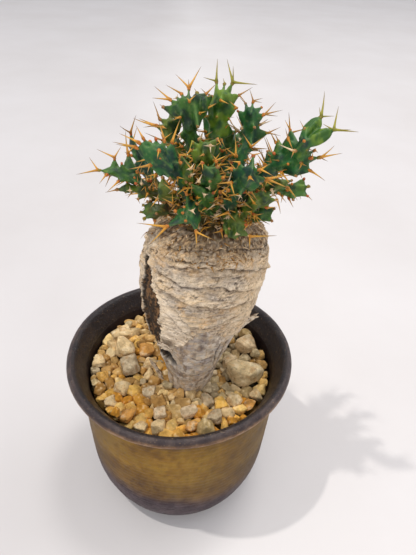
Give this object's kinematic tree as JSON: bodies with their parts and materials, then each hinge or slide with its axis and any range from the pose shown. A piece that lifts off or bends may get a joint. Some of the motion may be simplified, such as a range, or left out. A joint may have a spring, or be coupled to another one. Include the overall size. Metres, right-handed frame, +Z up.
{
  "type": "potted euphorbia",
  "caption": "Potted succulent euphorbia: swollen barrel-shaped caudex with a crown of spiny green stems, set in gravel in a round glazed pot on a foot ring.",
  "frame": {"origin": "under the middle of the foot, on the surface the pot stands on", "axes": "+Z up the plant; -Y towards the side seen in the picture; +X to that viewer's right"},
  "size_m": [0.12, 0.12, 0.2392],
  "materials": {
    "glazed_pot": "satin olive-bronze glaze, dark purple-brown lip, inside and foot",
    "drain_screen": "matte",
    "gravel": "rough pumice gravel",
    "stone": "rough pitted pumice",
    "caudex_bark": "papery peeling bark",
    "peeling_bark": "papery",
    "stem_green": "waxy succulent skin with orange-brown spines"
  },
  "bodies": {
    "root": {"pot": "glazed_pot", "drain_screen": "drain_screen", "gravel_bed": "gravel", "caudex": "caudex_bark", "bark_flake_right": "peeling_bark", "bark_flake_front": "peeling_bark", "bark_flap_left": "peeling_bark", "stone_01": "stone", "stone_02": "stone", "stone_03": "stone", "stone_04": "stone", "stone_05": "stone", "stone_06": "stone", "stone_07": "stone", "stone_08": "stone", "stone_09": "stone", "stone_10": "stone", "stone_11": "stone", "stone_12": "stone", "stone_13": "stone", "stone_14": "stone", "stone_15": "stone", "stone_16": "stone", "stone_17": "stone", "stone_18": "stone", "stone_19": "stone", "stone_20": "stone", "stone_21": "stone", "stone_22": "stone", "stone_23": "stone", "stone_24": "stone", "stem_left_arm": "stem_green", "stem_left_low": "stem_green", "stem_front_left": "stem_green", "stem_upper_left": "stem_green", "stem_outer_left": "stem_green", "stem_top": "stem_green", "stem_upper_right": "stem_green", "stem_right_arm": "stem_green", "stem_right_stub": "stem_green", "stem_right_mid": "stem_green", "stem_front_right": "stem_green", "stem_low_right": "stem_green", "stem_low_right_stub": "stem_green", "stem_front_low": "stem_green", "stem_left_stub": "stem_green", "stem_front_right_low": "stem_green", "stem_back_mid": "stem_green", "stem_centre_upper": "stem_green", "stem_centre": "stem_green", "stem_centre_low": "stem_green", "stem_centre_left": "stem_green", "stem_left_mid": "stem_green", "stem_back_1": "stem_green", "stem_back_2": "stem_green", "stem_back_3": "stem_green", "stem_back_4": "stem_green", "stem_back_5": "stem_green", "stem_back_6": "stem_green"}
  },
  "joints": []
}
